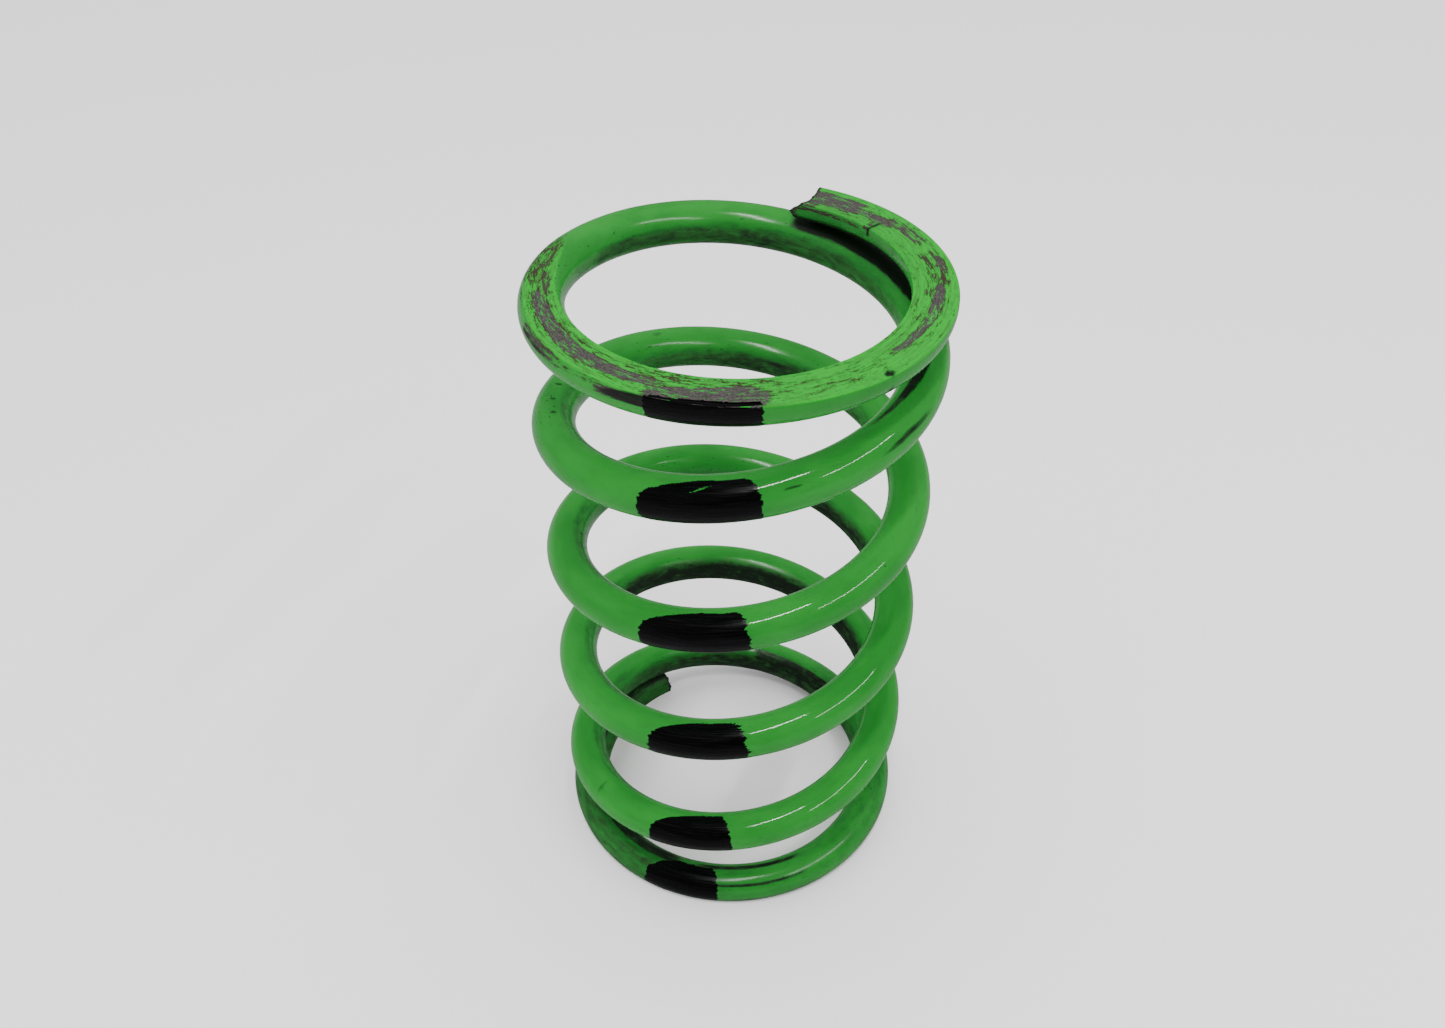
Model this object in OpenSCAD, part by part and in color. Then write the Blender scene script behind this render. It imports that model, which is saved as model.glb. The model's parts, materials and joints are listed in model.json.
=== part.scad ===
// Closed and ground compression coil spring.
// One round steel wire is wound as a right-handed helix that stands on +Z, on its own ground lower face at Z 0.
// Both end coils are closed and ground flat. Six dabs of marking paint sit one above the other, one on each coil.
// A coil spring works by twisting its wire. The wire is therefore divided into two closed end coils and fifteen
// stretches of a quarter turn, which meet face to face at torsion hinges that lie along the wire.

/* [Wire and coil] */
// Diameter of the wire
wire_d = 5.4; // [4:0.1:8]
// Diameter of the coil through the middle of the wire
coil_mean_d = 45; // [30:0.5:80]
// Height over the two ground ends with no load
free_height = 89.5; // [70:0.5:130]

/* [Winding] */
// Direction of the lower wire tip seen from above, in degrees from +X
lower_tip_azimuth = 123; // [91:0.5:129]
// Turns of wire from tip to tip
total_turns = 5.847; // [5.8:0.001:5.88]
// Rise per turn of the lower end coil
lower_end_pitch = 2.95; // [0:0.1:5]
// Rise per turn of the last bit of the upper end coil
upper_end_pitch = 0.3; // [0:0.1:5]
// Angle from the lower tip to where the wire lifts away, in degrees
lower_lift = 304.5; // [240:0.5:330]
// Angle from the upper tip back to where the wire starts to drop, in degrees
upper_flat = 113; // [60:1:180]
// Angle over which the upper end coil drops to the full pitch, in degrees
upper_ramp = 349; // [180:1:420]

/* [Ground ends] */
// Height of the wire's middle above the lower ground face at the tip
lower_tip_rise = 0.43; // [0:0.01:2.7]
// Depth of the wire's middle below the upper ground face at the tip
upper_tip_drop = 0.5; // [0:0.1:2.7]

/* [Paint marks] */
// Thickness of a paint mark
paint_t = 0.1; // [0.05:0.05:0.3]
// Direction of each paint mark from the bottom coil to the top coil, in degrees
mark_azimuths = [254.8, 258, 260.8, 260.9, 261.8, 263.5]; // [240:0.1:290]
// Angle of coil that each paint mark covers, in degrees
mark_spans = [26, 29.5, 31.5, 33, 33.5, 30]; // [20:0.5:36]
// Lower edge of each mark, as an angle around the wire from its outer side, in degrees
mark_low_edges = [-25, -60, -60, -60, -60, -60]; // [-60:5:0]
// Upper edge of each mark, as an angle around the wire from its outer side, in degrees
mark_high_edges = [75, 80, 80, 80, 80, 15]; // [10:5:120]

/* [Part to draw] */
// Sub-part to draw

/* [Hidden] */
$fn = 96;
wire_r = wire_d / 2;
coil_r = coil_mean_d / 2;
upper_tip_azimuth = lower_tip_azimuth + 360 * total_turns;
// Length of the small open joint between two stretches
joint_gap = 0.08;

// The centre line is a chain of arcs that meet with one tangent. Each is a quarter turn, apart from the two
// that reach the tips and the quarter where the lower coil lifts away, which is two eighths.
first_joint = 130;
quarter = 90;
split_arc = 3;
lower_arcs = 5;
stretches = 15;
upper_arcs = 4;
arcs = lower_arcs + stretches + upper_arcs;

// Direction of the start of arc i, in degrees from +X and counted up through the turns
function azimuth(i) =
    i == 0 ? lower_tip_azimuth :
    i == arcs ? upper_tip_azimuth :
    i <= split_arc ? first_joint + quarter * i :
    i == split_arc + 1 ? first_joint + quarter * (split_arc + 0.5) :
    first_joint + quarter * (i - 1);
function arc_turn(i) = azimuth(i + 1) - azimuth(i);

// Share of the full pitch at a direction, from 0 in the end coils to 1 in the working coils
function share(a) = lookup(a, [
    [lower_tip_azimuth + lower_lift - 22.5, 0],
    [lower_tip_azimuth + lower_lift + 22.5, 1],
    [upper_tip_azimuth - upper_flat - upper_ramp, 1],
    [upper_tip_azimuth - upper_flat, 0]
]);
function end_pitch(a) = a < (lower_tip_azimuth + upper_tip_azimuth) / 2 ? lower_end_pitch : upper_end_pitch;

// A flat arc is steeper in its middle than where it ends, so the slope at a joint is a little under the helix's
function arc_fit(i) = (arc_turn(i) * PI / 180) / (2 * tan(arc_turn(i) / 2));
function joint_fit(i) = (arc_fit(max(i - 1, 0)) + arc_fit(min(i, arcs - 1))) / 2;
function joint_slope(i, pitch) = pitch / (PI * coil_mean_d) * joint_fit(i);
function sum(list, i = 0) = i == len(list) ? 0 : list[i] + sum(list, i + 1);
function rise(slopes) = sum([for (i = [0 : arcs - 1]) coil_r * tan(arc_turn(i) / 2) * (slopes[i] + slopes[i + 1])]);

// The full pitch is what is left of the free height once the end coils have had theirs
end_slopes = [for (i = [0 : arcs]) joint_slope(i, end_pitch(azimuth(i)) * (1 - share(azimuth(i))))];
unit_slopes = [for (i = [0 : arcs]) joint_slope(i, share(azimuth(i)))];
full_pitch = (free_height - lower_tip_rise - upper_tip_drop - rise(end_slopes)) / rise(unit_slopes);
slopes = end_slopes + full_pitch * unit_slopes;

function unit(v) = v / norm(v);
tangents = [for (i = [0 : arcs]) unit([-sin(azimuth(i)), cos(azimuth(i)), slopes[i]])];

// Straight step from the start of arc i to its end
function arc_step_vector(i) =
    let (
        both = tangents[i] + tangents[i + 1],
        flat_chord = 2 * coil_r * sin(arc_turn(i) / 2)
    )
    both * flat_chord / norm([both.x, both.y]);
start_point = [coil_r * cos(lower_tip_azimuth), coil_r * sin(lower_tip_azimuth), lower_tip_rise];
points = [for (i = 0, p = start_point; i <= arcs; p = p + (i < arcs ? arc_step_vector(i) : [0, 0, 0]), i = i + 1) p];

function arc_angle(i) = acos(tangents[i] * tangents[i + 1]);
function arc_radius(i) = norm(arc_step_vector(i)) / (2 * sin(arc_angle(i) / 2));

paint_green = [0.20, 0.60, 0.24];
paint_black = [0.05, 0.05, 0.05];

// Places a section of the wire at arc i and sweeps it between two shares of the arc.
// The section's +X points away from the coil's axis and its +Y points up.
module sweep_arc(i, from = 0, to = 1, trim_start = 0, trim_end = 0) {
    normal = unit(cross(tangents[i], tangents[i + 1]));
    outward = -cross(normal, tangents[i]);
    r = arc_radius(i);
    centre = points[i] - outward * r;
    start = arc_angle(i) * from + trim_start / r * 180 / PI;
    end = arc_angle(i) * to - trim_end / r * 180 / PI;
    multmatrix([
        [outward.x, tangents[i].x, normal.x, centre.x],
        [outward.y, tangents[i].y, normal.y, centre.y],
        [outward.z, tangents[i].z, normal.z, centre.z],
        [0, 0, 0, 1]
    ])
        rotate([0, 0, start])
            rotate_extrude(angle = end - start)
                translate([r, 0])
                    children();
}

// The piece of wire that is arc i, with half a joint gap at each end that meets another piece
module wire(i) {
    sweep_arc(i, trim_start = i == 0 ? 0 : joint_gap / 2, trim_end = i == arcs - 1 ? 0 : joint_gap / 2)
        circle(d = wire_d);
}

// Piece n of the closed lower coil, counted from its tip, with what is below the ground face taken off
module lower_end_coil(n) {
    color(paint_green)
        difference() {
            wire(n - 1);
            translate([0, 0, -wire_d])
                cylinder(h = wire_d, r = coil_mean_d);
        }
}

// Piece n of the closed upper coil, counted up to its tip, with what is above the ground face taken off
module upper_end_coil(n) {
    color(paint_green)
        difference() {
            wire(lower_arcs + stretches + n - 1);
            translate([0, 0, free_height])
                cylinder(h = wire_d, r = coil_mean_d);
        }
}

module wire_stretch(n) {
    color(paint_green)
        wire(lower_arcs + n - 1);
}

// Thin dab of paint on the outer and upper side of the wire, on the coil that is n turns above the lowest one
module paint_mark(n) {
    middle = mark_azimuths[n - 1] + 360 * (n - 1);
    color(paint_black)
        for (i = [0 : arcs - 1]) {
            from = max(0, (middle - mark_spans[n - 1] / 2 - azimuth(i)) / arc_turn(i));
            to = min(1, (middle + mark_spans[n - 1] / 2 - azimuth(i)) / arc_turn(i));
            if (to > from)
                sweep_arc(i, from, to)
                    paint_section(mark_low_edges[n - 1], mark_high_edges[n - 1]);
        }
}

// Section of a mark: a thin skin just off the wire, between two angles around it
module paint_section(low_edge, high_edge) {
    clear = 0.01;
    reach = wire_d * 2;
    middle = (low_edge + high_edge) / 2;
    intersection() {
        difference() {
            circle(r = wire_r + clear + paint_t);
            circle(r = wire_r + clear);
        }
        polygon([
            [0, 0],
            reach * [cos(low_edge), sin(low_edge)],
            reach * [cos(middle), sin(middle)],
            reach * [cos(high_edge), sin(high_edge)]
        ]);
    }
}

lower_end_coil(1);  // lower_end_coil_1
lower_end_coil(2);  // lower_end_coil_2
lower_end_coil(3);  // lower_end_coil_3
lower_end_coil(4);  // lower_end_coil_4
lower_end_coil(5);  // lower_end_coil_5
wire_stretch(1);  // wire_stretch_1
wire_stretch(2);  // wire_stretch_2
wire_stretch(3);  // wire_stretch_3
wire_stretch(4);  // wire_stretch_4
wire_stretch(5);  // wire_stretch_5
wire_stretch(6);  // wire_stretch_6
wire_stretch(7);  // wire_stretch_7
wire_stretch(8);  // wire_stretch_8
wire_stretch(9);  // wire_stretch_9
wire_stretch(10);  // wire_stretch_10
wire_stretch(11);  // wire_stretch_11
wire_stretch(12);  // wire_stretch_12
wire_stretch(13);  // wire_stretch_13
wire_stretch(14);  // wire_stretch_14
wire_stretch(15);  // wire_stretch_15
upper_end_coil(1);  // upper_end_coil_1
upper_end_coil(2);  // upper_end_coil_2
upper_end_coil(3);  // upper_end_coil_3
upper_end_coil(4);  // upper_end_coil_4
paint_mark(1);  // paint_mark_1
paint_mark(2);  // paint_mark_2
paint_mark(3);  // paint_mark_3
paint_mark(4);  // paint_mark_4
paint_mark(5);  // paint_mark_5
paint_mark(6);  // paint_mark_6
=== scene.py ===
"""Looks of a painted coil spring, in metres: wire, ground ends, torn tips and brushed paint marks."""
import json
import math

import bpy
import numpy as np
from mathutils import Matrix, Vector, noise


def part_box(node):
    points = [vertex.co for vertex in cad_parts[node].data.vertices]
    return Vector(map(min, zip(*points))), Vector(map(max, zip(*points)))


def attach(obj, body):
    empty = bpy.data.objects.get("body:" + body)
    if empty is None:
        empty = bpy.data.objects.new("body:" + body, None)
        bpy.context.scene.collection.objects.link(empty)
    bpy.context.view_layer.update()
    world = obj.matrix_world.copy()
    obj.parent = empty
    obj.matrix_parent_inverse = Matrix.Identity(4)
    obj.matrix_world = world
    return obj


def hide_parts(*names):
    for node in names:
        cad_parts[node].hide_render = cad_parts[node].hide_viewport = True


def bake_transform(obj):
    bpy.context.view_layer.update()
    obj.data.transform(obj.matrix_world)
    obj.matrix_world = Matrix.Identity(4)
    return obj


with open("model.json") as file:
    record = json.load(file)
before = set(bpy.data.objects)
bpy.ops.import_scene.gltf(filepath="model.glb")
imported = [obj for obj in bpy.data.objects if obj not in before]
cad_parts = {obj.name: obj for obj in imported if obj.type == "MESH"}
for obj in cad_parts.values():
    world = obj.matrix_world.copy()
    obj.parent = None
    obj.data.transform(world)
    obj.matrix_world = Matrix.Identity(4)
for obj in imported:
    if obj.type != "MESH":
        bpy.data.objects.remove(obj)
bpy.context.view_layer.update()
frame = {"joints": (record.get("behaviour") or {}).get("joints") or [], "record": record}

# ---------------------------------------------------------------- sizes

MM = 0.001
TURN = 2 * math.pi
JOINTS = frame["joints"]
HINGES = np.array([j["pos_m"] for j in JOINTS])
MOUNTS = {m["name"]: np.array(m["pos_m"]) for m in frame["record"]["mounts"]}

COIL_R = float(np.hypot(MOUNTS["lower_seat"][0], MOUNTS["lower_seat"][1]))
FREE_HEIGHT = float(MOUNTS["upper_seat"][2])
WIRE_R = 2.7 * MM

# How far the wire's middle lies over the lower face at the lower tip, and under the upper face at the upper
LOWER_TIP_RISE = 0.43 * MM
UPPER_TIP_DROP = 0.5 * MM

# Azimuths of the two tips, and how many CAD pieces each end coil has
LOWER_TIP = math.radians(123)
UPPER_TIP = LOWER_TIP + 5.847 * TURN
LOWER_PIECES = 5
UPPER_PIECES = 4

# The wire's mesh: how far apart its rings of points are, and a ring's points on its round and its flat part
RING_STEP = 0.4 * MM
ROUND_POINTS = 60
FLAT_POINTS = 24

# How far the paint's surface rises and falls, how much the ground edges are rounded, how thick a mark is, and
# how close a point lies to a ground face to count as part of it
PAINT_WAVE = 0.010 * MM
EDGE_ROUND = 0.05 * MM
FILM = 0.035 * MM
FLAT_REACH = 0.05 * MM

# Angle of wire on each side of a hinge
BEND_HALF = math.radians(24)


# ---------------------------------------------------------------- centre line

def knots():
    """(azimuth, height) of the wire's middle at its tips, at each hinge and where two end pieces meet."""
    first = math.atan2(HINGES[0][1], HINGES[0][0]) + TURN
    quarter = TURN / 4
    hinge_azimuths = [first + quarter * k for k in range(len(HINGES))]
    low = [first - quarter * t for t in (3, 2, 1, 0.5)]
    high = [hinge_azimuths[-1] + quarter * t for t in (1, 2, 3)]
    low_z = [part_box(f"lower_end_coil_{n}")[1].z - WIRE_R for n in range(1, LOWER_PIECES)]
    high_z = [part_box(f"upper_end_coil_{n}")[0].z + WIRE_R for n in range(2, UPPER_PIECES + 1)]
    azimuths = [LOWER_TIP] + low + hinge_azimuths + high + [UPPER_TIP]
    heights = [LOWER_TIP_RISE] + low_z + [h[2] for h in HINGES] + high_z + [FREE_HEIGHT - UPPER_TIP_DROP]
    return np.array(azimuths), np.array(heights), hinge_azimuths


KNOT_A, KNOT_Z, HINGE_A = knots()


def knot_slopes():
    """Slopes at the knots that keep the wire climbing without a wave."""
    rise = np.diff(KNOT_Z) / np.diff(KNOT_A)
    slopes = np.empty(len(KNOT_A))
    slopes[0], slopes[-1] = rise[0], rise[-1]
    for k in range(1, len(KNOT_A) - 1):
        before, after = KNOT_A[k] - KNOT_A[k - 1], KNOT_A[k + 1] - KNOT_A[k]
        w1, w2 = 2 * after + before, after + 2 * before
        slopes[k] = (w1 + w2) / (w1 / rise[k - 1] + w2 / rise[k])
    return slopes


KNOT_S = knot_slopes()


def height(a):
    """Height of the wire's middle at azimuth a."""
    a = np.asarray(a, float)
    k = np.clip(np.searchsorted(KNOT_A, a) - 1, 0, len(KNOT_A) - 2)
    h = KNOT_A[k + 1] - KNOT_A[k]
    t = (a - KNOT_A[k]) / h
    return (
        (2 * t**3 - 3 * t**2 + 1) * KNOT_Z[k]
        + (t**3 - 2 * t**2 + t) * h * KNOT_S[k]
        + (3 * t**2 - 2 * t**3) * KNOT_Z[k + 1]
        + (t**3 - t**2) * h * KNOT_S[k + 1]
    )


def frame_at(a):
    """(middle, outward, up, along) of the wire at azimuths a."""
    a = np.atleast_1d(np.asarray(a, float))
    step = 1e-3
    slope = (height(a + step) - height(a - step)) / (2 * step * COIL_R)
    out = np.c_[np.cos(a), np.sin(a), np.zeros_like(a)]
    along = np.c_[-np.sin(a), np.cos(a), slope]
    along /= np.linalg.norm(along, axis=1)[:, None]
    up = np.cross(out, along)
    middle = out * COIL_R
    middle[:, 2] = height(a)
    return middle, out, up, along


def wave(s, x, y):
    """Small unevenness of the sprayed paint, never above the wire's true size."""
    p = Vector((s / MM * 0.22, x / MM * 0.45, y / MM * 0.45))
    return PAINT_WAVE * (noise.noise(p) - 0.6)


def ground(a, up_z):
    """Height over the wire's middle of the ground faces, (upper, lower), in the section at azimuth a."""
    z = float(height(a))
    upper = (FREE_HEIGHT - z) / up_z if a > (LOWER_TIP + UPPER_TIP) / 2 else math.inf
    lower = z / up_z if a < (LOWER_TIP + UPPER_TIP) / 2 else math.inf
    return upper, lower


def surface(a, angle, up_z, lift=0.0):
    """Distance from the wire's middle to its surface at one angle around it. Ground edges are rounded."""
    upper, lower = ground(a, up_z)
    sine = math.sin(angle)
    cut = upper / sine if sine > 1e-6 else (lower / -sine if sine < -1e-6 else math.inf)
    x, y = WIRE_R * math.cos(angle), WIRE_R * sine
    r = WIRE_R + wave(a * COIL_R, x, y)
    if cut < 4 * WIRE_R:
        k = EDGE_ROUND
        low = min(r, cut)
        r = low - k * math.log(math.exp(-(r - low) / k) + math.exp(-(cut - low) / k))
        r = min(r, cut)
    return r + lift


# ---------------------------------------------------------------- marks of use and painted shade
#
# Each field says how strongly one kind of wear shows at a point; the grime field also holds painted shade
# and painted shadow. A is the azimuth in degrees, counted up from the lower tip. phi is the angle around the
# wire from its outer side in degrees: 0 outside, 90 on top and 180 inside. u is the offset outwards in wire
# radii.

TIP = math.degrees(UPPER_TIP)
FOOT = math.degrees(LOWER_TIP)


def ramp(x, low, high):
    """0 below low and 1 above high, with a smooth rise between them."""
    t = np.clip((x - low) / (high - low), 0, 1)
    return t * t * (3 - 2 * t)


def window(x, low, high, soft):
    """1 between low and high, falling to 0 over soft on each side."""
    return ramp(x, low - soft, low) * (1 - ramp(x, high, high + soft))


def patch(A, v, a_low, a_high, a_soft, v_low, v_high, v_soft, strength=1.0):
    """A soft-edged patch between two azimuths and between two values of v, which is phi or u."""
    return strength * window(A, a_low, a_high, a_soft) * window(v, v_low, v_high, v_soft)


def band(A, v, stations):
    """A band that changes along the wire, from stations of (A, centre, half-width, strength)."""
    at = [s[0] for s in stations]
    centre, half, strength = (np.interp(A, at, [s[n] for s in stations]) for n in (1, 2, 3))
    inside = (A >= at[0]) & (A <= at[-1])
    return inside * strength * (1 - ramp(np.abs(v - centre) / np.maximum(half, 1e-3), 0.70, 1.35))


def spot(A, phi, at, angle, length, width, strength=1.0):
    """A single spot, length along the wire and width around it in millimetres."""
    ds = np.radians(A - at) * COIL_R / MM
    dp = np.radians(phi - angle) * WIRE_R / MM
    return strength * (1 - ramp(np.hypot(ds / (length / 2), dp / (width / 2)), 0.5, 1.3))


def all_of(A, v, bands=(), patches=(), spots=()):
    """The strongest of many bands, patches and spots at each point."""
    drawn = [band(A, v, b) for b in bands] + [patch(A, v, *p) for p in patches]
    return np.maximum.reduce(drawn + [spot(A, v, *s) for s in spots])


def value_at(A, stations):
    """A value that changes along the wire, from stations of (A, value)."""
    return np.interp(A, *zip(*stations))


def field_flat(A, phi, u, on_top, on_bottom):
    """The ground faces."""
    return np.maximum(on_top, on_bottom)


# Paint rubbed off the upper ground face by the seat that turned against it, across u
TOP_BANDS = [
    # left of the last paint mark
    [(1986, 0.08, 0.16, 0.0), (1990, 0.07, 0.26, 0.95), (2000, 0.05, 0.30, 1.25), (2010, 0.03, 0.28, 1.15),
     (2014, 0.08, 0.35, 1.3), (2021, 0.08, 0.35, 1.3), (2030, 0.06, 0.31, 1.2), (2040, 0.06, 0.30, 1.1),
     (2048, 0.06, 0.28, 0.80), (2056, 0.02, 0.22, 0.0)],
    # above the mark
    [(2046, 0.62, 0.24, 0.0), (2050, 0.60, 0.34, 1.3), (2055, 0.50, 0.46, 1.6), (2062, 0.42, 0.56, 1.8),
     (2070, 0.30, 0.64, 1.8), (2075, 0.32, 0.62, 1.8), (2077, 0.38, 0.50, 1.6), (2081, 0.24, 0.16, 0.0)],
    # on the right, with two scuffs inside of it
    [(2116, -0.08, 0.08, 0.0), (2120, -0.10, 0.17, 0.90), (2128, -0.07, 0.17, 0.90),
     (2135, 0.0, 0.18, 0.95), (2145, 0.08, 0.20, 1.2), (2152, 0.12, 0.20, 1.3), (2157, 0.18, 0.17, 1.2),
     (2160, 0.20, 0.10, 0.0)],
    [(2133, -0.25, 0.06, 0.0), (2138, -0.36, 0.20, 0.55), (2144, -0.30, 0.16, 0.0)],
    [(2150, -0.34, 0.12, 0.0), (2154, -0.30, 0.18, 0.70), (2160, -0.20, 0.12, 0.0)],
    # at the far left, where the ground face begins
    [(1950, 0.1, 0.40, 0.0), (1960, 0.10, 0.50, 0.46), (1971, 0.16, 0.44, 0.56), (1984, 0.12, 0.5, 0.40),
     (1994, 0.1, 0.5, 0.34)],
    [(1974, -0.2, 0.10, 0.0), (1979, -0.26, 0.18, 0.62), (1989, -0.26, 0.18, 0.62), (2000, -0.3, 0.14, 0.3)],
]
TOP_PATCHES = [
    (1990, 2050, 3, -0.55, 0.60, 0.12, 0.36), (2040, 2082, 6, -0.85, -0.30, 0.12, 0.40),
    (2078, 2112, 8, -0.45, 0.60, 0.20, 0.33), (2160, 2176, 4, -0.16, 0.60, 0.12, 0.48),
    (2167, 2174, 3, 0.28, 0.66, 0.10, 0.75), (2184, 2197, 4, 0.05, 0.52, 0.14, 0.72),
    # by the tip
    (2197, 2228, 4, -0.26, 0.14, 0.14, 0.95), (2211, 2232, 4, -0.46, 0.50, 0.16, 1.2),
    (2223, 2232, 2, -0.98, -0.60, 0.12, 0.80), (2198.8, 2200.4, 0.6, -1.0, -0.38, 0.12, 0.72),
    # thin wear over the whole face
    (1940, 2228, 4, -0.95, 0.85, 0.10, 0.265),
]
# Rubbed spots on the outer shoulder, and two on the inner side by the tip, across phi
SIDE_PATCHES = [
    (1958, 1992, 8, 40, 80, 10, 0.46), (2003, 2021, 3, 8, 30, 6, 0.70), (2021, 2036, 4, 12, 24, 6, 0.34),
    (2036, 2053, 3, -1, 18, 6, 0.80), (2149, 2172, 5, 2, 34, 8, 0.56), (2172, 2225, 5, 0, 14, 8, 0.34),
]
INNER_PATCHES = [(2205, 2232, 8, 175, 183, 4, 0.50), (2198.3, 2200.6, 0.7, 118, 172, 8, 0.66)]


def field_worn(A, phi, u, on_top, on_bottom):
    """Paint rubbed through to grey-brown steel. The lower ground face is rubbed nearly all over."""
    inner_phi = np.where(phi < 0, phi + 360, phi)
    top = on_top * all_of(A, u, TOP_BANDS, TOP_PATCHES)
    bottom = on_bottom * (0.66 + 0.25 * np.sin(np.radians(A * 2.3)) - 0.4 * np.abs(u) ** 3)
    side = np.maximum(all_of(A, phi, (), SIDE_PATCHES), all_of(A, inner_phi, (), INNER_PATCHES))
    return np.maximum.reduce([top, bottom, (1 - on_top) * side])


# How much dirt and painted shade darken the inner side along the wire, and the phi at which the darkening
# begins
DIRT_AND_SHADE_AMOUNT = [
    (123, 0.6), (375, 0.65), (400, 0.80), (440, 0.95), (480, 0.75), (530, 0.50), (560, 0.50), (690, 0.55),
    (715, 0.75), (740, 1.0), (780, 1.1), (830, 1.1), (868, 0.90), (900, 0.35), (1090, 0.60), (1105, 0.95),
    (1130, 1.0), (1150, 0.45), (1215, 0.45), (1300, 0.30), (1480, 0.60), (1505, 0.85), (1530, 0.80),
    (1570, 0.50), (1600, 0.25), (1800, 0.30), (1830, 0.55), (1868, 0.65), (1885, 0.80), (1900, 0.68),
    (1925, 0.50), (1950, 0.36),
]
DIRT_AND_SHADE_START = [
    (400, 112), (540, 124), (740, 108), (860, 118), (1100, 118), (1160, 140), (1500, 126), (1560, 138),
    (1820, 122), (1880, 134), (1930, 142),
]
# Darkening all round the bottom coil
DULL = [(100, 0.0), (130, 0.55), (235, 0.55), (280, 0.22), (330, 0.30), (400, 0.50), (430, 0.0)]
# Painted black shadow where end coils touch their neighbours, under the upper tip and over and under the
# lower one, and painted shade in dark bands nearby, across phi counted on through the inner side
CONTACT_SHADOW_BANDS = [
    [(1810, 100, 12, 0.0), (1820, 102, 20, 1.6), (1840, 105, 24, 1.6), (1869, 108, 29, 1.6),
     (1874, 108, 29, 0.0)],
    [(1750, 108, 3, 0.0), (1757, 107, 5, 0.75), (1768, 103, 9, 1.0), (1776, 99, 13, 1.2), (1788, 94, 15, 1.2),
     (1796, 92, 10, 0.0)],
]
CONTACT_SHADOW_PATCHES = [
    (TIP - 62, TIP + 5, 10, 218, 290, 20, 1.1), (FOOT, FOOT + 46, 14, 74, 118, 24, 0.9),
    (FOOT + 360, FOOT + 406, 14, 236, 300, 24, 0.9), (400, 438, 6, 118, 160, 12, 1.0),
    (206, 246, 10, 94, 126, 10, 1.0), (1890, 1946, 12, 172, 205, 14, 0.66),
]
# Scuffs and scratches on the outer side, and a painted shade line on the bottom coil's upper inner side,
# across phi
SCUFF_BANDS = [
    [(2034, 5, 3, 0.0), (2039, 8, 9, 1.0), (2044, 9, 13, 1.4), (2049, 9, 12, 1.5), (2053, 8, 8, 1.4)],
    [(1998, 16, 3, 0.0), (2005, 13, 7, 0.8), (2014, 10, 7, 0.7), (2022, 7, 3, 0.0)],
    [(1749, 21, 3, 0.0), (1755, 25, 5, 0.75), (1761, 29, 7, 0.95), (1768, 26, 6, 0.70), (1776, 20, 3, 0.0)],
]
SCUFF_AND_SHADE_PATCHES = [
    # the first is painted shade: a dark line where the coil above shades the bottom coil's upper inner side
    (262, 294, 8, 102, 113, 4, 1.0), (268, 294, 8, 44, 48, 3, 1.0), (262, 300, 8, -17, -13, 3, 0.7),
]
SCUFF_SPOTS = [
    (1726, 39, 1.9, 0.36), (1615, 94, 0.7, 1.0), (1625, 93, 0.6, 0.8), (1634, 92, 0.6, 1.0),
    (434, 145, 1.5, 2.2), (579, 60, 0.8, 3.0, 0.5), (1561, 100, 1.6, 0.8, 0.4), (1262, 118, 1.2, 1.0, 0.6),
]
# A chip near the outer edge of the upper ground face: its place, the radius there and its half sizes in
# millimetres. A crack in the paint across the inner side: its place and half width in degrees.
CHIP = dict(A=2110.8, u=0.76, radius=23.9, along=0.62, across=0.60)
CRACK = dict(A=2198.2, half=0.45)


def field_grime_and_shade(A, phi, u, on_top, on_bottom):
    """Dark film of dirt and painted shade on the inner and lower sides, painted black shadow where the end
    coils touch their neighbours.
    """
    inner_phi = np.where(phi < 0, phi + 360, phi)
    az = np.mod(A, 360)
    # painted shade and dirt on the inner side, darkening from phi start on
    start = value_at(A, DIRT_AND_SHADE_START)
    inside = value_at(A, DIRT_AND_SHADE_AMOUNT) * ramp(inner_phi, start - 8, start + 46)
    inside *= 1 - ramp(inner_phi, 262, 300)
    # dirt and painted shade weaker on the near side of each coil: the second window is the first one's soft
    # start below azimuth 360
    inside *= 0.40 + 0.60 * np.maximum(window(az, 15, 215, 20), window(az, 375, 400, 20))
    # darker at the inner left of every coil but the last
    left = window(az, 150, 226, 18) * window(inner_phi, 122, 190, 22) * (A < 1900) * 0.42
    # painted black shadow where end coils touch, and painted shade bands nearby
    contact_shadow = all_of(A, inner_phi, CONTACT_SHADOW_BANDS, CONTACT_SHADOW_PATCHES)
    # scuffs, and one painted shade line on the bottom coil
    scuffs_and_shade = all_of(A, phi, SCUFF_BANDS, SCUFF_AND_SHADE_PATCHES, SCUFF_SPOTS)
    chip_along = np.radians(A - CHIP["A"]) * CHIP["radius"] / CHIP["along"]
    chip_across = (u - CHIP["u"]) * WIRE_R / MM / CHIP["across"]
    chip = 1.3 * (1 - ramp(np.hypot(chip_along, chip_across), 0.55, 1.2))
    crack = 1.2 * (1 - ramp(np.abs(A - CRACK["A"]) / CRACK["half"], 0.5, 1.3))
    crack *= window(inner_phi, 138, 188, 8)
    return np.maximum.reduce([inside, contact_shadow, value_at(A, DULL), left, scuffs_and_shade, chip, crack])


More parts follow.
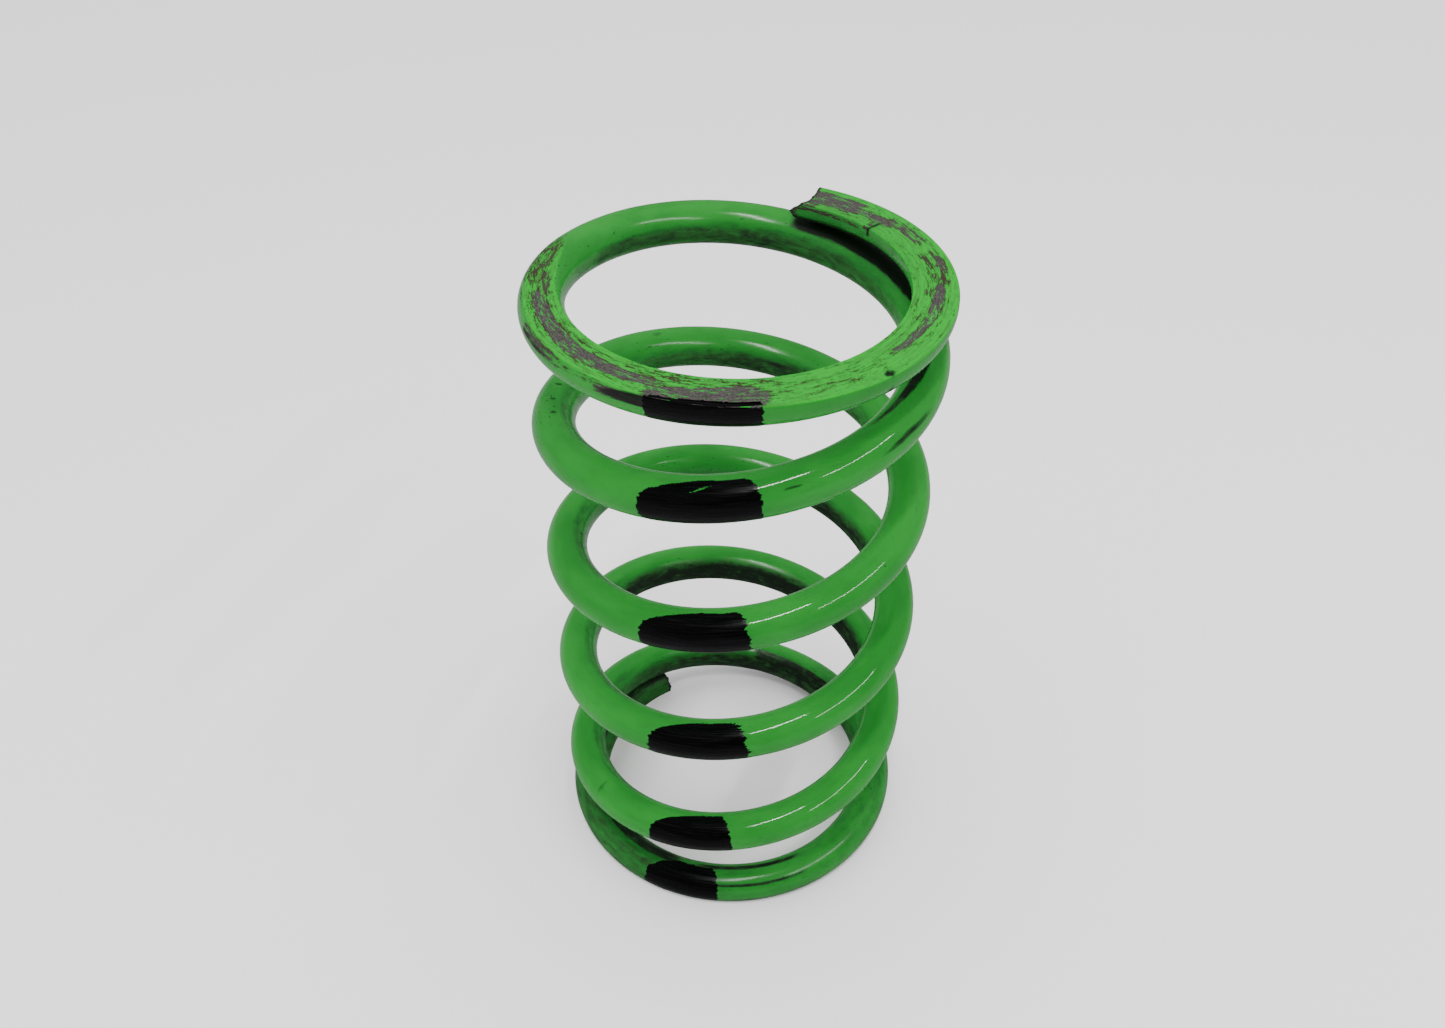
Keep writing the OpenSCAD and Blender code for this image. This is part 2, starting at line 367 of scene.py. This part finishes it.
def field_specks(A, phi, u, on_top, on_bottom):
    """Small dark flecks: a few all over, and more inside, on the bottom coil and on the upper face."""
    az = np.mod(A, 360)
    inner_phi = np.where(phi < 0, phi + 360, phi)
    return np.maximum.reduce([
        0.30 + 0.5 * patch(A, phi, 1600, 1640, 12, 10, 100, 14),
        0.75 * window(az, 60, 200, 25) * window(inner_phi, 120, 235, 20),
        0.60 * window(A, 100, 480, 20),
        on_top * patch(A, u, 2158, 2212, 6, 0.2, 0.95, 0.12, 0.9),
        on_top * patch(A, u, 1945, 2000, 8, -0.6, 0.9, 0.12, 0.8),
        on_top * 0.5 * window(A, 1940, 2225, 6),
    ])


def field_dust(A, phi, u, on_top, on_bottom):
    """Dry film that takes the shine off the far side of every coil, and off the bottom coil."""
    return window(np.mod(A, 360), 35, 150, 25) + 0.8 * window(A, 100, 330, 30)


def field_bare(A, phi, u, on_top, on_bottom):
    """Torn steel at the two tips, with the paint broken off beside it."""
    to_tip = np.radians(np.minimum(np.abs(A - TIP), np.abs(A - FOOT))) * COIL_R / MM
    return 1 - ramp(to_tip, 0.05, 0.75)


FIELDS = {
    "flat": field_flat,
    "worn": field_worn,
    "grime_and_shade": field_grime_and_shade,
    "specks": field_specks,
    "dust": field_dust,
    "bare": field_bare,
}


def store(mesh, straight, flats):
    """Keeps each point's place on the straightened wire in millimetres, and its marks of use and painted
    shade.
    """
    layer = mesh.attributes.new("straight", "FLOAT_VECTOR", "POINT")
    layer.data.foreach_set("vector", (straight / MM).astype(np.float32).ravel())
    A = np.degrees(straight[:, 0] / COIL_R)
    phi = np.degrees(np.arctan2(straight[:, 2], straight[:, 1]))
    u = straight[:, 1] / WIRE_R
    for name, field in FIELDS.items():
        values = field(A, phi, u, flats[:, 0], flats[:, 1])
        layer = mesh.attributes.new(name, "FLOAT", "POINT")
        layer.data.foreach_set("value", values.astype(np.float32))


# ---------------------------------------------------------------- mesh of a length of wire

def section_angles(cut, facing):
    """Angles around the wire of one ring's points, gathered at the corners of a flat cut at height cut."""
    corner = math.asin(max(min(cut / WIRE_R, 0.993), -1))
    half = WIRE_R * math.cos(corner)
    rounded = np.linspace(corner, -math.pi - corner, ROUND_POINTS)
    across = -half * np.cos(np.linspace(0, math.pi, FLAT_POINTS + 2)[1:-1])
    flat = np.arctan2(WIRE_R * math.sin(corner), across)
    angles = np.r_[rounded, flat]
    return angles if facing == "up" else -angles


def wire_mesh(name, start, end, flat=None, tip=None):
    """Mesh of the wire from azimuth start to end.

    flat is "up" or "down" where a ground face cuts it. tip is "start" or "end" where it ends in a torn face.
    """
    rings = max(int(round((end - start) * COIL_R / RING_STEP)), 2) + 1
    azimuths = np.linspace(start, end, rings)
    middle, out, up, along = frame_at(azimuths)
    points = ROUND_POINTS + FLAT_POINTS
    verts = np.empty((rings, points, 3))
    straight = np.empty((rings, points, 3))
    flats = np.zeros((rings, points, 2))
    for i, a in enumerate(azimuths):
        upper, lower = ground(a, up[i][2])
        if flat is None:
            angles = np.linspace(0, -TURN, points, endpoint=False)
        else:
            angles = section_angles(upper if flat == "up" else lower, flat)
        for j, angle in enumerate(angles):
            r = surface(a, angle, up[i][2])
            x, y = r * math.cos(angle), r * math.sin(angle)
            verts[i, j] = middle[i] + x * out[i] + y * up[i]
            straight[i, j] = a * COIL_R, x, y
            if flat and r < WIRE_R - 0.02 * MM:
                near_upper = y > 0 and abs(y - upper) < FLAT_REACH
                near_lower = y < 0 and abs(-y - lower) < FLAT_REACH
                flats[i, j] = near_upper, near_lower
    faces = []
    for i in range(rings - 1):
        a, b = i * points, (i + 1) * points
        for j in range(points):
            k = (j + 1) % points
            quad = [a + j, a + k, b + k, b + j]
            faces.append(quad if flat == "down" else quad[::-1])
    if tip:
        tear(verts, straight, along, tip)
        verts, straight, flats, faces = close(verts, straight, flats, faces, tip, along, flat == "down")
    verts, straight, flats = verts.reshape(-1, 3), straight.reshape(-1, 3), flats.reshape(-1, 2)
    mesh = bpy.data.meshes.new(name)
    mesh.from_pydata(verts.tolist(), [], faces)
    store(mesh, straight, flats)
    mesh.update()
    obj = bpy.data.objects.new(name, mesh)
    bpy.context.scene.collection.objects.link(obj)
    return obj


def tear(verts, straight, along, tip):
    """Gives the last few rings of a tip the uneven edge of sheared wire."""
    rings, reach = len(verts), 9
    for d in range(reach):
        i = d if tip == "start" else rings - 1 - d
        ease = (1 - d / reach) ** 2
        outward = -along[i] if tip == "start" else along[i]
        for j in range(verts.shape[1]):
            x, y = straight[i, j, 1:] / MM
            if tip == "end":
                slant = -0.75 + 2.1 * float(ramp(-x, 0.6, 2.7) * ramp(-y, -1.2, 0.6))
            else:
                slant = -0.2 - 0.12 * x
            push = 0.26 * noise.noise(Vector((x * 0.7 + 11, y * 0.7, 3.1)))
            push += 0.26 * noise.noise(Vector((x * 2.2, y * 2.2, 9.7)))
            push += 0.12 * noise.noise(Vector((x * 6, y * 6, 4.2)))
            verts[i, j] += outward * (slant + push) * ease * MM


def close(verts, straight, flats, faces, tip, along, forward):
    """Closes a tip with rings of points that shrink to its middle, pitted like torn steel."""
    steps, (rings, points) = 12, verts.shape[:2]
    first = 0 if tip == "start" else rings - 1
    outward = -along[0] if tip == "start" else along[-1]
    rim, rim_s = verts[first], straight[first]
    centre, centre_s = rim.mean(0), rim_s.mean(0)
    shapes, places = [verts.reshape(-1, 3)], [straight.reshape(-1, 3)]
    last, count = list(range(first * points, (first + 1) * points)), rings * points
    for step in range(1, steps + 1):
        share = 1 - step / steps
        ring = centre + (rim - centre) * share
        ring_s = centre_s + (rim_s - centre_s) * share
        for j in range(points):
            x, y = ring_s[j, 1:] / MM
            pit = 0.14 * noise.noise(Vector((x * 1.7, y * 1.7, 5.5)))
            pit += 0.06 * noise.noise(Vector((x * 5, y * 5, 1.5)))
            ring[j] += outward * (pit - 0.06) * MM * (1 - share**6)
        shapes.append(ring)
        places.append(ring_s)
        ids = list(range(count, count + points))
        count += points
        for j in range(points):
            k = (j + 1) % points
            quad = [last[j], last[k], ids[k], ids[j]]
            faces.append(quad[::-1] if (tip == "start") == forward else quad)
        last = ids
    flats = np.concatenate([flats.reshape(-1, 2), np.zeros((steps * points, 2))])
    return np.concatenate(shapes), np.concatenate(places), flats, faces


# ---------------------------------------------------------------- paint marks

# Each mark's body and turn, left and right azimuth, high and low edge as phi, slant of its left end,
# raggedness of its right end and dryness of its top
MARK_FACTS = ("body", "turn", "left", "right", "high", "low", "slant", "rag", "dry")
MARKS = [dict(zip(MARK_FACTS, facts)) for facts in (
    ("lower_end_coil", 0, 240.5, 266.7, 103, -24, 0.5, 0.30, 0.4),
    ("stretch_2", 1, 243.4, 271.2, 106, -60, 0.9, 0.35, 0.5),
    ("stretch_6", 2, 245.0, 275.8, 99, -60, 0.8, 0.8, 1.0),
    ("stretch_10", 3, 244.0, 275.6, 94, -60, 0.9, 0.6, 0.8),
    ("stretch_14", 4, 245.6, 277.5, 87, -60, 0.9, 0.5, 1.2),
    ("upper_end_coil", 5, 248.6, 277.0, 30, -60, 0.2, 0.3, 0.45),
)]
MARK_STEP = 0.09 * MM

# Degrees past each mark's left and right ends, and past its low and high edges, that its film is worked out
MARGIN = dict(left=1.6, right=3.2, low=2, high=8)

# The slanted line that the brush skipped: the mark it is in, its distance from the mark's left end and its
# length, both in millimetres, its slope, and its phi at the start
SKIP = dict(mark=4, start=5.6, length=8 / 3, slope=0.33, phi=51)


def mark_depth(n, mark, a, phi):
    """Distance in millimetres that a point lies inside the brushed edge of mark n, less than 0 outside."""
    r = WIRE_R / MM
    reach = (COIL_R + WIRE_R * math.cos(math.radians(phi))) / MM
    left = math.radians(mark["left"] + 360 * mark["turn"]) * reach
    right = math.radians(mark["right"] + 360 * mark["turn"]) * reach
    s = a * reach
    seed = 17.3 * (n + 1)
    rise = max(0.0, (phi - 10) / (mark["high"] - 10)) if mark["high"] > 30 else 0.0
    drop = max(0.0, (-10 - phi) / 60)
    bow = mark["slant"] * (7.6 * rise**3 + 1.2 * drop**2)
    around = math.radians(phi) * r
    coarse = noise.noise(Vector((s * 0.25, phi * 0.10, seed)))
    bristle = noise.noise(Vector((s * 0.45 + seed, around * 8.0, 2.2)))
    fleck = noise.noise(Vector((s * 2.6, around * 4.0, seed + 5)))
    lobe = noise.noise(Vector((seed, around * 2.0, 7.7)))
    from_left = s - left - bow + 0.35 * coarse + 0.14 * bristle
    from_right = right - s - 1.125 * rise**3 + mark["rag"] * (0.9 * lobe + 0.6 * bristle + 0.35 * fleck)
    edge = mark["high"] - 3.0 * (1 - math.sin(math.pi * min(max((s - left) / (right - left), 0), 1)))
    from_top = math.radians(edge - phi) * r + mark["dry"] * (0.30 * bristle + 0.22 * fleck) + 0.12 * coarse
    from_bottom = math.radians(phi - mark["low"]) * r + 0.10 * coarse
    depth = min(from_left, from_right, from_top, from_bottom)
    streaky = noise.noise(Vector((s * 0.30 - seed, around * 7.5, 8.8)))
    thin = mark["dry"] * max(0.0, 1 - from_top / 1.1) + 0.8 * mark["rag"] * max(0.0, 1 - from_right / 1.2)
    if thin > 0 and streaky > 0.62 - 0.42 * thin:
        depth = min(depth, -0.01)
    line = s - left - SKIP["start"]
    if n == SKIP["mark"] and 0 < line < SKIP["length"]:
        away = abs(math.radians(phi - SKIP["phi"]) * r - SKIP["slope"] * line + 0.18 * bristle)
        if away < 0.05 + 0.09 * math.sin(math.pi * line / SKIP["length"]):
            depth = -0.02
    return depth


def mark_mesh(n, mark):
    """Thin film of black paint brushed over the wire, with a ragged edge where the brush lifted."""
    left = math.radians(mark["left"] - MARGIN["left"] + 360 * mark["turn"])
    right = math.radians(mark["right"] + MARGIN["right"] + 360 * mark["turn"])
    rows = int((right - left) * (COIL_R + WIRE_R) / MARK_STEP)
    low, high = mark["low"] - MARGIN["low"], mark["high"] + MARGIN["high"]
    columns = int(math.radians(high - low) * WIRE_R / MARK_STEP)
    azimuths, angles = np.linspace(left, right, rows), np.linspace(low, high, columns)
    middle, out, up, _ = frame_at(azimuths)
    verts, straight, depths, faces = [], [], [], []
    for i, a in enumerate(azimuths):
        for phi in angles:
            angle = math.radians(phi)
            depth = mark_depth(n, mark, a, phi)
            body = min(1.0, max(0.0, depth / 0.35))
            stroke = noise.noise(Vector((a * COIL_R / MM * 0.25, angle * WIRE_R / MM * 6.5, 3.3 + n)))
            lift = 0.006 * MM + FILM * body * (0.75 + 0.35 * stroke)
            r = surface(a, angle, up[i][2], lift)
            x, y = r * math.cos(angle), r * math.sin(angle)
            point = middle[i] + x * out[i] + y * up[i]
            point[2] = min(max(point[2], 0.0), FREE_HEIGHT)
            verts.append(point)
            straight.append((a * COIL_R, x, y))
            depths.append(depth)
    depths = np.array(depths).reshape(rows, columns)
    for i in range(rows - 1):
        for j in range(columns - 1):
            if depths[i:i + 2, j:j + 2].mean() > 0:
                k = i * columns + j
                faces.append([k, k + columns, k + columns + 1, k + 1])
    used = np.zeros(len(verts), bool)
    used[np.unique(faces)] = True
    index = np.cumsum(used) - 1
    verts, straight = np.array(verts)[used], np.array(straight)[used]
    faces = [[int(index[k]) for k in face] for face in faces]
    mesh = bpy.data.meshes.new(f"mark_{n + 1}")
    mesh.from_pydata(verts.tolist(), [], faces)
    store(mesh, straight, np.zeros((len(straight), 2)))
    mesh.update()
    obj = bpy.data.objects.new(f"mark_{n + 1}", mesh)
    bpy.context.scene.collection.objects.link(obj)
    return obj


# ---------------------------------------------------------------- materials

class Nodes:
    """Short ways to add and join shader nodes."""

    def __init__(self, name):
        self.material = bpy.data.materials.new(name)
        self.material.use_nodes = True
        self.tree = self.material.node_tree
        self.shader = self.tree.nodes["Principled BSDF"]

    def link(self, socket, value):
        """Joins a socket to another one, or sets it to a constant."""
        if isinstance(value, bpy.types.NodeSocket):
            self.tree.links.new(value, socket)
        else:
            socket.default_value = value

    def field(self, name):
        """A value that store() kept on the mesh."""
        node = self.tree.nodes.new("ShaderNodeAttribute")
        node.attribute_name = name
        return node.outputs["Vector" if name == "straight" else "Fac"]

    def stretched(self, along, across):
        """Place on the straightened wire, scaled along and across it."""
        node = self.tree.nodes.new("ShaderNodeVectorMath")
        node.operation = "MULTIPLY"
        self.link(node.inputs[0], self.field("straight"))
        node.inputs[1].default_value = (along, across, across)
        return node.outputs[0]

    def noise(self, along, across, detail=3.0, rough=0.55, twist=0.0):
        """Noise over the straightened wire, finer the larger along and across are."""
        node = self.tree.nodes.new("ShaderNodeTexNoise")
        node.inputs["Scale"].default_value = 1.0
        node.inputs["Detail"].default_value = detail
        node.inputs["Roughness"].default_value = rough
        node.inputs["Distortion"].default_value = twist
        self.link(node.inputs["Vector"], self.stretched(along, across))
        return node.outputs["Fac"]

    def math(self, operation, a, b=0.0):
        """One operation on two values, such as ADD or MULTIPLY."""
        node = self.tree.nodes.new("ShaderNodeMath")
        node.operation = operation
        self.link(node.inputs[0], a)
        self.link(node.inputs[1], b)
        return node.outputs[0]

    def span(self, value, low, high, out_low=0.0, out_high=1.0):
        """Smooth step of a value from low to high."""
        node = self.tree.nodes.new("ShaderNodeMapRange")
        node.interpolation_type = "SMOOTHSTEP"
        ends = {"From Min": low, "From Max": high, "To Min": out_low, "To Max": out_high}
        for name, v in {"Value": value, **ends}.items():
            self.link(node.inputs[name], v)
        return node.outputs[0]

    def mix(self, factor, a, b):
        """Colour between a and b."""
        node = self.tree.nodes.new("ShaderNodeMix")
        node.data_type = "RGBA"
        self.link(node.inputs["Factor"], factor)
        self.link(node.inputs[6], a)
        self.link(node.inputs[7], b)
        return node.outputs[2]

    def bump(self, height, distance, strength=1.0, normal=None):
        """Surface that rises with height by up to a distance in metres, over one that is bumped already."""
        node = self.tree.nodes.new("ShaderNodeBump")
        node.inputs["Distance"].default_value = distance
        node.inputs["Strength"].default_value = strength
        self.link(node.inputs["Height"], height)
        if normal is not None:
            self.link(node.inputs["Normal"], normal)
        return node.outputs["Normal"]


def broken(n, field, noise_value, low, high, depth):
    """Mask of a field broken up by noise. Where the field is 0 there is none of it."""
    shaken = n.math("ADD", 1.0, n.math("MULTIPLY", n.math("SUBTRACT", noise_value, 0.5), depth))
    return n.span(n.math("MULTIPLY", field, shaken), low, high)


def blend_of(n, *pairs):
    """Sum of values, each times its share."""
    total = 0.0
    for value, share in pairs:
        total = n.math("ADD", n.math("MULTIPLY", value, share), total)
    return total


# Linear colours of the paint, of dirt and painted shade, and of steel
PAINT_DEEP = (0.0135, 0.172, 0.0205, 1)
PAINT_LIGHT = (0.0195, 0.220, 0.0275, 1)
PAINT_BLOTCH = (0.0165, 0.140, 0.0215, 1)
PAINT_GROUND = (0.0010, 0.350, 0.0140, 1)
PAINT_MOTTLED = (0.0180, 0.165, 0.0240, 1)
PAINT_SCORED = (0.046, 0.066, 0.026, 1)
# near black for dirt, painted shade and painted shadow
DIRT_AND_SHADE = (0.0028, 0.0055, 0.0028, 1)
FLECK = (0.0060, 0.0080, 0.0050, 1)
STEEL_DARK = (0.020, 0.0185, 0.0165, 1)
STEEL_PALE = (0.072, 0.064, 0.059, 1)
STEEL_BROWN = (0.034, 0.020, 0.012, 1)
# worn steel darkened by dirt and painted shade
STEEL_DIRT_AND_SHADE = (0.0060, 0.0050, 0.0050, 1)
TORN_DARK = (0.010, 0.010, 0.009, 1)
TORN_PALE = (0.045, 0.038, 0.032, 1)
BLACK_DEEP = (0.0010, 0.0010, 0.0012, 1)
BLACK_STROKE = (0.0034, 0.0032, 0.0040, 1)
BLACK_DUST = (0.06, 0.06, 0.065, 1)


def green_paint():
    """Bright green enamel: rubbed to steel where worn, darkened by dirt and painted shade where grimy, matt
    and scored where ground.
    """
    n = Nodes("green_paint")
    streak = n.noise(0.40, 2.4, 3.0, 0.6, 0.4)
    scratch = n.noise(0.9, 6.5, 3.0, 0.6, 0.2)
    grain = n.noise(3.6, 8.0, 3.0, 0.6)
    cloud = n.noise(0.10, 0.25, 2.0)
    blotch = n.noise(0.5, 1.1, 4.0, 0.6, 0.4)
    lines = n.noise(0.16, 7.5, 3.0, 0.6, 0.1)
    rubbed = blend_of(n, (streak, 0.36), (scratch, 0.36), (grain, 0.28))
    smeared = blend_of(n, (blotch, 0.45), (streak, 0.30), (grain, 0.25))

    worn = broken(n, n.field("worn"), rubbed, 0.40, 0.56, 11.0)
    scored = n.math("MULTIPLY", n.field("flat"), n.span(lines, 0.53, 0.63))
    grime_and_shade = broken(n, n.field("grime_and_shade"), smeared, 0.02, 1.10, 2.8)
    fleck_line = n.math("SUBTRACT", 0.80, n.math("MULTIPLY", n.field("specks"), 0.16))
    fleck_noise = n.noise(1.5, 3.6, 2.0, 0.5)
    flecks = n.span(n.math("SUBTRACT", fleck_noise, fleck_line), 0.0, 0.035)
    bare = broken(n, n.field("bare"), grain, 0.40, 0.60, 2.0)

    paint = n.mix(n.span(cloud, 0.3, 0.7), PAINT_DEEP, PAINT_LIGHT)
    paint = n.mix(n.math("MULTIPLY", n.span(blotch, 0.50, 0.72), 0.30), paint, PAINT_BLOTCH)
    colour = n.mix(n.math("MULTIPLY", n.field("flat"), 0.85), paint, PAINT_GROUND)
    mottled = n.math("MULTIPLY", n.field("flat"), n.span(n.noise(0.8, 2.6, 3.0, 0.65), 0.46, 0.66))
    colour = n.mix(n.math("MULTIPLY", mottled, 0.40), colour, PAINT_MOTTLED)
    colour = n.mix(n.math("MULTIPLY", scored, 0.62), colour, PAINT_SCORED)
    # dirt and painted shade, with painted shadow where coils touch, darken the paint towards near black
    colour = n.mix(n.math("MULTIPLY", grime_and_shade, 0.97), colour, DIRT_AND_SHADE)
    colour = n.mix(n.math("MULTIPLY", flecks, 0.85), colour, FLECK)
    steel = n.mix(n.span(grain, 0.35, 0.65), STEEL_DARK, STEEL_PALE)
    steel = n.mix(n.span(n.field("worn"), 0.35, 0.95), STEEL_BROWN, steel)
    # dirt and painted shade darken worn steel too
    steel = n.mix(n.math("MULTIPLY", grime_and_shade, 0.9), steel, STEEL_DIRT_AND_SHADE)
    colour = n.mix(worn, colour, steel)
    torn = n.mix(n.span(blotch, 0.4, 0.7), TORN_DARK, TORN_PALE)
    colour = n.mix(bare, colour, torn)
    n.link(n.shader.inputs["Base Color"], colour)

    rough = n.span(blotch, 0.3, 0.8, 0.055, 0.10)
    # rougher where worn, bare, or darkened by dirt and painted shade
    dirt = n.math("MAXIMUM", n.math("MAXIMUM", worn, bare), n.math("MULTIPLY", grime_and_shade, 0.7))
    rough = n.math("ADD", rough, n.math("MULTIPLY", dirt, 0.45))
    rough = n.math("ADD", rough, n.math("MULTIPLY", n.field("flat"), 0.22))
    rough = n.math("ADD", rough, n.math("MULTIPLY", n.field("dust"), 0.11))
    n.link(n.shader.inputs["Roughness"], rough)
    n.shader.inputs["Specular IOR Level"].default_value = 0.26

    skin = n.math("SUBTRACT", 1.0, n.math("MAXIMUM", worn, bare))
    height = n.bump(skin, 0.03 * MM, 0.8)
    height = n.bump(n.noise(0.9, 1.4, 2.0), 0.03 * MM, 0.25, height)
    lay = n.math("MULTIPLY", n.field("flat"), lines)
    height = n.bump(lay, 0.02 * MM, 0.5, height)
    height = n.bump(n.math("MULTIPLY", bare, blotch), 0.3 * MM, 1.0, height)
    n.link(n.shader.inputs["Normal"], height)
    return n.material


def black_paint():
    """Satin black marking paint with brush strokes and a little dust."""
    n = Nodes("black_paint")
    stroke = n.noise(0.22, 5.5, 3.0, 0.6)
    dust = n.noise(2.2, 4.5, 3.0, 0.6)
    colour = n.mix(n.span(stroke, 0.42, 0.75), BLACK_DEEP, BLACK_STROKE)
    colour = n.mix(n.math("MULTIPLY", n.span(dust, 0.72, 0.78), 0.25), colour, BLACK_DUST)
    n.link(n.shader.inputs["Base Color"], colour)
    n.link(n.shader.inputs["Roughness"], n.span(stroke, 0.3, 0.7, 0.16, 0.34))
    n.shader.inputs["Specular IOR Level"].default_value = 0.12
    n.link(n.shader.inputs["Normal"], n.bump(stroke, 0.03 * MM, 0.6))
    return n.material


SHARP_ANGLE = math.radians(40)


def dress(obj, material):
    """Smooth shading with the corners kept sharp, a material and the record's slot for it."""
    for p in obj.data.polygons:
        p.use_smooth = True
    obj.data.set_sharp_from_angle(angle=SHARP_ANGLE)
    obj.data.materials.append(material)


GREEN, BLACK = green_paint(), black_paint()

# ---------------------------------------------------------------- wire

bodies = ["lower_end_coil"] + [j["child"] for j in JOINTS]
seams = [HINGE_A[0] - TURN / 8] + [a + TURN / 8 for a in HINGE_A]

lower = wire_mesh("wire_lower_end", LOWER_TIP, seams[0], flat="down", tip="start")
dress(lower, GREEN)
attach(lower, bodies[0])
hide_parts(*[f"lower_end_coil_{n}" for n in range(1, LOWER_PIECES)])

for k, hinge in enumerate(HINGE_A):
    piece = wire_mesh(f"wire_bend_{k + 1:02d}", seams[k], seams[k + 1])
    dress(piece, GREEN)
    ends = frame_at([hinge - BEND_HALF, hinge + BEND_HALF])[0]
    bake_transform(piece)
    own = ["lower_end_coil_5"] if k == 0 else [f"wire_stretch_{k}"]
    if k == len(HINGE_A) - 1:
        own.append("upper_end_coil_1")
    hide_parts(*own)

upper = wire_mesh("wire_upper_end", seams[-1], UPPER_TIP, flat="up", tip="end")
dress(upper, GREEN)
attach(upper, bodies[-1])
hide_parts(*[f"upper_end_coil_{n}" for n in range(2, UPPER_PIECES + 1)])

for n, mark in enumerate(MARKS):
    film = mark_mesh(n, mark)
    dress(film, BLACK)
    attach(film, mark["body"])
    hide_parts(f"paint_mark_{n + 1}")

# ---------------------------------------------------------------- stage

SPRING_MIDDLE = Vector((0, 0, 0.045))


def tube(name, start, end, width, power):
    """A long thin lamp from start to end that shines toward the spring."""
    a, b = Vector(start), Vector(end)
    middle = (a + b) / 2
    light = bpy.data.lights.new(name, "AREA")
    light.shape = "RECTANGLE"
    light.size, light.size_y = (b - a).length, width
    light.energy = power
    obj = bpy.data.objects.new(name, light)
    x = (b - a).normalized()
    y = (middle - SPRING_MIDDLE).normalized().cross(x).normalized()
    z = x.cross(y).normalized()
    obj.matrix_world = Matrix.Translation(middle) @ Matrix((x, y, z)).transposed().to_4x4()
    bpy.context.scene.collection.objects.link(obj)


tube("tube_over", (-0.07, -0.35, 0.70), (0.10, -0.09, 0.70), 0.022, 2.2)
tube("tube_right", (0.46, -0.58, 0.70), (0.68, -0.05, 0.70), 0.026, 2.6)

# Light from all round, and how much of it is left in front, where someone stands in the way of it
SKY = 2.1
SKY_IN_FRONT = 0.3
IN_FRONT = Vector((0.42, -0.76, 0.48)).normalized()

# How much of the sky the shiny paint mirrors, as if the room round it were dark
SKY_IN_PAINT = 0.08

# The floor as it is seen, and the darker one that the shiny paint mirrors
FLOOR = (0.95, 0.935, 0.95, 1)
FLOOR_IN_PAINT = (0.24, 0.24, 0.25, 1)


def studio_world():
    """Even pale light from all round, dimmer in front. The backdrop behind the floor stays even."""
    world = bpy.data.worlds.new("studio")
    bpy.context.scene.world = world
    world.use_nodes = True
    tree = world.node_tree
    coords = tree.nodes.new("ShaderNodeTexCoord")
    dot = tree.nodes.new("ShaderNodeVectorMath")
    dot.operation = "DOT_PRODUCT"
    dot.inputs[1].default_value = IN_FRONT
    span = tree.nodes.new("ShaderNodeMapRange")
    span.interpolation_type = "SMOOTHSTEP"
    span.inputs["From Min"].default_value = 0.40
    span.inputs["From Max"].default_value = 0.92
    span.inputs["To Min"].default_value = SKY
    span.inputs["To Max"].default_value = SKY_IN_FRONT
    ray = tree.nodes.new("ShaderNodeLightPath")
    keep = tree.nodes.new("ShaderNodeMapRange")
    keep.inputs["To Min"].default_value = 1.0
    keep.inputs["To Max"].default_value = SKY_IN_PAINT
    backdrop = tree.nodes.new("ShaderNodeMix")
    backdrop.inputs["B"].default_value = SKY
    strength = tree.nodes.new("ShaderNodeMath")
    strength.operation = "MULTIPLY"
    background = tree.nodes["Background"]
    background.inputs["Color"].default_value = (1.0, 0.985, 1.0, 1)
    for source, socket in (
        (coords.outputs["Generated"], dot.inputs[0]),
        (dot.outputs["Value"], span.inputs["Value"]),
        (ray.outputs["Is Camera Ray"], backdrop.inputs["Factor"]),
        (span.outputs[0], backdrop.inputs["A"]),
        (backdrop.outputs["Result"], strength.inputs[0]),
        (ray.outputs["Is Glossy Ray"], keep.inputs["Value"]),
        (keep.outputs[0], strength.inputs[1]),
        (strength.outputs[0], background.inputs["Strength"]),
    ):
        tree.links.new(source, socket)


def floor_material():
    """Plain pale floor, darker where the paint mirrors it."""
    material = bpy.data.materials.new("floor")
    material.use_nodes = True
    tree = material.node_tree
    shader = tree.nodes["Principled BSDF"]
    ray = tree.nodes.new("ShaderNodeLightPath")
    tone = tree.nodes.new("ShaderNodeMix")
    tone.data_type = "RGBA"
    tone.inputs[6].default_value = FLOOR
    tone.inputs[7].default_value = FLOOR_IN_PAINT
    tree.links.new(ray.outputs["Is Glossy Ray"], tone.inputs["Factor"])
    tree.links.new(tone.outputs[2], shader.inputs["Base Color"])
    shader.inputs["Roughness"].default_value = 0.55
    return material


studio_world()

floor_mesh = bpy.data.meshes.new("floor")
floor_mesh.from_pydata([(-3, -3, 0), (3, -3, 0), (3, 3, 0), (-3, 3, 0)], [], [(0, 1, 2, 3)])
floor_mesh.materials.append(floor_material())
floor = bpy.data.objects.new("floor", floor_mesh)
bpy.context.scene.collection.objects.link(floor)

# ---------------------------------------------------------------- camera

camera_data = bpy.data.cameras.new("camera")
camera_data.sensor_width = 36
camera_data.lens = 31.47
camera_data.shift_x = 0.0078
camera_data.shift_y = 0.0456
camera_data.clip_start = 0.01
camera = bpy.data.objects.new("camera", camera_data)
bpy.context.scene.collection.objects.link(camera)

# Where the camera stands, and the directions that it looks in and that lie to its right
camera_place = Vector((1.59, -128.40, 163.29)) * MM
sight = Vector((-0.02666, 0.72727, -0.68583))
right = Vector((0.99941, 0.03425, -0.00253))
down = sight.cross(right)
camera_axes = Matrix((right, -down, -sight)).transposed().to_4x4()
camera.matrix_world = Matrix.Translation(camera_place) @ camera_axes
bpy.context.scene.camera = camera
